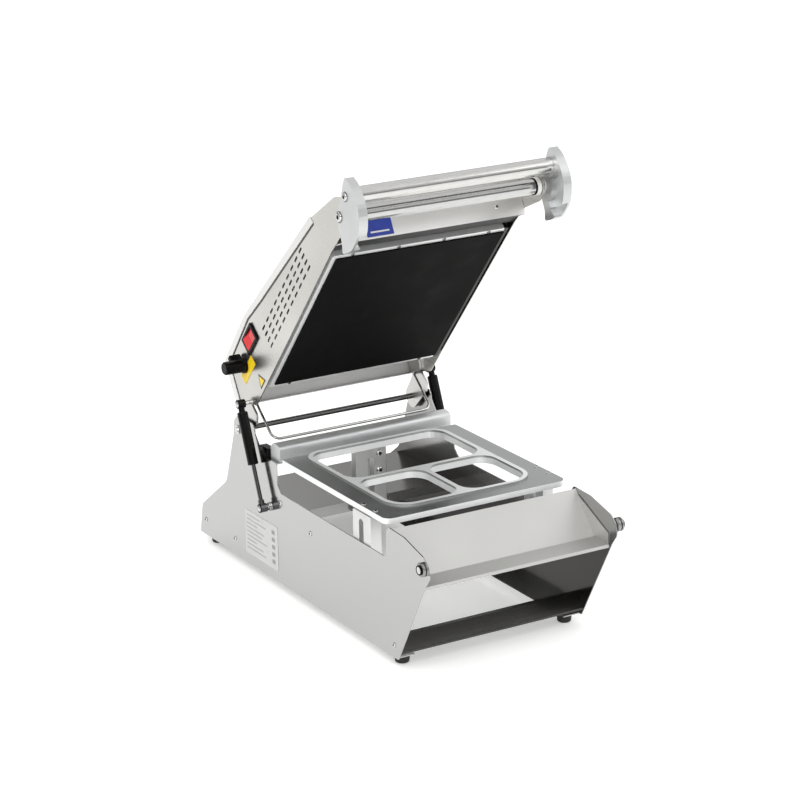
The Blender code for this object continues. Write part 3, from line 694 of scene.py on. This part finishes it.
def front_badge():
    """A blue badge with one pale line on the head's front, and a screw beside it."""
    low, high = Vector((0, -0.263, 0.192)), Vector((0, -0.276, 0.222))  # the panel, closed
    up = (high - low).normalized()
    out = Vector((-1, 0, 0)).cross(up)
    if out.y > 0:
        out = -out
    side = up.cross(out)
    centre = low + up * 0.0145 + out * SKIN + Vector((MID_X - 0.083, 0, 0))
    turn = Matrix((side, up, out)).transposed().to_4x4()
    matrix = OPENED @ Matrix.Translation(centre) @ turn
    sticker("front_badge", card(0.040, 0.024, 0.0012), LABEL, matrix, BLUE, "head")
    rule = matrix @ Matrix.Translation((0, -0.006, LABEL))
    sticker("front_badge_rule", card(0.028, 0.0022, 0.0004), PRINT, rule, PALE_LABEL, "head")
    place = OPENED @ (low + up * 0.016 + out * SKIN + Vector((MID_X + 0.098, 0, 0)))
    socket_screw("front_panel_screw", place, OPENED.to_3x3() @ out, 0.0034, 0.0016, "head")


def handle_screws():
    """Button heads with hexagon sockets, in place of the CAD's plain ones."""
    for side, sign in SIDES:
        for kind, body, radius in (("latch", "head", 0.0066), ("grip", "handle", 0.0056)):
            node = "{}_{}_screw".format(side, kind)
            low, high = corners(node)
            plate_low, plate_high = corners(side + "_latch_plate")
            face = plate_low.x if sign < 0 else plate_high.x
            outer = low.x if sign < 0 else high.x
            place = Vector((face + sign * SKIN, (low.y + high.y) / 2, (low.z + high.z) / 2))
            height = abs(outer - place.x)
            screw = socket_screw(node + "_head", place, (sign, 0, 0), radius, height, body)
            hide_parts(node)
            band(node + "_washer", place, (sign, 0, 0), radius + 0.0007, 0.0005, body, SHAFT)


def collar(name, place, direction, bore, radius, width, body, material):
    """A plain ring whose near face stands on place."""
    made = bmesh.new()
    steps, ease = 48, 0.3 * MM
    section = [
        (bore, 0),
        (radius - ease, 0),
        (radius, ease),
        (radius, width - ease),
        (radius - ease, width),
        (bore, width),
    ]
    rings = []
    for step in range(steps):
        turn = 2 * math.pi * step / steps
        ring = []
        for reach, height in section:
            ring.append(made.verts.new((reach * math.cos(turn), reach * math.sin(turn), height)))
        rings.append(ring)
    for step in range(steps):
        here, after = rings[step], rings[(step + 1) % steps]
        for part in range(len(section)):
            on = (part + 1) % len(section)
            made.faces.new((here[part], after[part], after[on], here[on]))
    made.transform(aimed(place, direction))
    return piece(name, made, material, body)


def pivot_rings():
    """A white spacer and a black ring at each end of the handle's pivot tube."""
    low, high = corners("latch_pivot_tube")
    radius = (high.y - low.y) / 2
    bore = radius + 0.05 * MM
    centre = (low + high) / 2
    for side, sign in SIDES:
        end = low.x if sign < 0 else high.x
        for kind, inset, rise, width, material in (
            ("spacer", 0.0002, 0.0018, 0.0060, WHITE),
            ("seal", 0.0063, 0.0010, 0.0022, BLACK),
        ):
            place = Vector((end - sign * inset, centre.y, centre.z))
            name = "{}_pivot_{}".format(side, kind)
            collar(name, place, (-sign, 0, 0), bore, radius + rise, width, "head", material)


def strut_trim():
    """A chrome ball end and a black spring clip on each strut eye."""
    profile = [(0, 0), (0.0046, 0), (0.0044, 0.0008)]
    profile += [(0.0034, 0.0017), (0.0018, 0.0022), (0, 0.0023)]
    for side, sign in SIDES:
        for node, body in (("lower_stud", side + "_rod"), ("upper_stud", side + "_cylinder")):
            stud = "{}_{}".format(side, node)
            centre = middle(stud)
            place = Vector((MID_X + sign * 0.1601, centre.y, centre.z))
            cap = lathe(profile, 32)
            cap.transform(aimed(place, (sign, 0, 0)))
            piece(stud + "_ball", cap, CHROME, body)
            band(stud + "_clip", place, (sign, 0, 0), 0.0055, 0.0008, body, BLACK)


def strut_bands():
    """The rolled groove and end seal of each gas cylinder."""
    for side, _ in SIDES:
        along = Vector(JOINTS[side + "_strut_slide"]["axis"]).normalized()
        foot = Vector(JOINTS[side + "_strut_swing"]["pos_m"])
        for number, far in enumerate((0.0640, 0.1335)):
            name = "{}_strut_band_{}".format(side, number)
            band(name, foot + along * far, along, 0.0074, 0.0005, side + "_cylinder", BLACK)


def die_screws():
    """Flat screws at the die's front corners, and the bolts of the rear post."""
    low = corners("die_plate")[0]
    top = low.z + 8.6 * MM + SKIN
    for side, sign in SIDES:
        x = MID_X + sign * 0.136
        for number, back in enumerate((0.036, 0.067)):
            name = "{}_die_screw_{}".format(side, number)
            socket_screw(name, (x, low.y + back, top), (0, 0, 1), 0.0036, 0.0014, "base")
    post_low, post_high = corners("rear_die_post")
    for number, down in enumerate((0.0095, 0.0345)):
        place = (MID_X + 0.013, post_low.y - SKIN, post_high.z - down)
        socket_screw("rear_post_screw_{}".format(number), place, (0, -1, 0), 0.0048, 0.003, "base")


def studio():
    """A pale floor, a pale world and four soft lights."""
    bpy.ops.mesh.primitive_plane_add(size=60, location=(0, 0, -0.0006))
    floor = bpy.context.object
    floor.name = "floor"
    ground = Nodes("floor_paint", (0.9, 0.9, 0.89), 0.0, 0.6)
    ground.rough(ground.spread(ground.noise(3.0), 0.5, 0.65))
    ground.shader.inputs["Emission Color"].default_value = (1, 1, 1, 1)
    ground.shader.inputs["Emission Strength"].default_value = 0.3
    floor.data.materials.append(ground.material)
    world = bpy.data.worlds.new("studio")
    bpy.context.scene.world = world
    world.use_nodes = True
    tree = world.node_tree
    background = tree.nodes["Background"]
    background.inputs["Strength"].default_value = 0.9
    way = tree.nodes.new("ShaderNodeTexCoord").outputs["Generated"]
    split = tree.nodes.new("ShaderNodeSeparateXYZ")
    tree.links.new(way, split.inputs["Vector"])
    shade = tree.nodes.new("ShaderNodeValToRGB")
    stops = ((0.0, 0.30), (0.12, 0.34), (0.3, 0.72), (0.55, 1.0))
    ramp = shade.color_ramp
    ramp.elements[0].position, ramp.elements[1].position = stops[0][0], stops[-1][0]
    for height, _ in stops[1:-1]:
        ramp.elements.new(height)
    for element, (_, light) in zip(ramp.elements, stops):
        element.color = (light, light, light, 1)
    tree.links.new(split.outputs["Z"], shade.inputs["Fac"])
    tree.links.new(shade.outputs["Color"], background.inputs["Color"])
    lit = Vector((0, 0, 0.25))
    lights = (
        ("key", (-1.6, -1.4, 2.4), 2.0, 34),
        ("fill", (2.4, -1.2, 1.6), 2.4, 18),
        ("back", (0.4, 2.6, 2.2), 2.0, 11),
        ("low", (-0.7, -2.0, 0.30), 1.0, 7),
    )
    for name, place, size, power in lights:
        lamp = bpy.data.lights.new(name, "AREA")
        lamp.size = size
        lamp.energy = power
        obj = bpy.data.objects.new(name, lamp)
        obj.location = place
        aim = lit - Vector(place)
        obj.rotation_euler = aim.to_track_quat("-Z", "Y").to_euler()
        bpy.context.scene.collection.objects.link(obj)


def camera():
    """The photograph's view: a long lens from the front left, a little above."""
    azimuth, elevation, roll = math.radians(-30.287), math.radians(17.815), math.radians(-1.0)
    target = Vector((MID_X + 0.0795, 0.1233, 0.2302))
    away = 3.9203
    back = Vector(
        (
            math.sin(azimuth) * math.cos(elevation),
            -math.cos(azimuth) * math.cos(elevation),
            math.sin(elevation),
        )
    )
    right = (-back).cross(Vector((0, 0, 1))).normalized()
    up = right.cross(-back)
    across = right * math.cos(roll) + up * math.sin(roll)
    over = up * math.cos(roll) - right * math.sin(roll)
    data = bpy.data.cameras.new("camera")
    data.lens = 123.2
    data.sensor_width = 36
    data.clip_end = 50
    obj = bpy.data.objects.new("camera", data)
    turn = Matrix((across, over, back)).transposed().to_4x4()
    obj.matrix_world = Matrix.Translation(target + back * away) @ turn
    bpy.context.scene.collection.objects.link(obj)
    bpy.context.scene.camera = obj


camera()
studio()
base_screws()
rating_label()
roller_trim()
head_labels()
heater_screws()
cover_seams()
cover_screws()
front_badge()
handle_screws()
pivot_rings()
strut_trim()
strut_bands()
die_screws()

bpy.context.scene.view_settings.view_transform = "Standard"
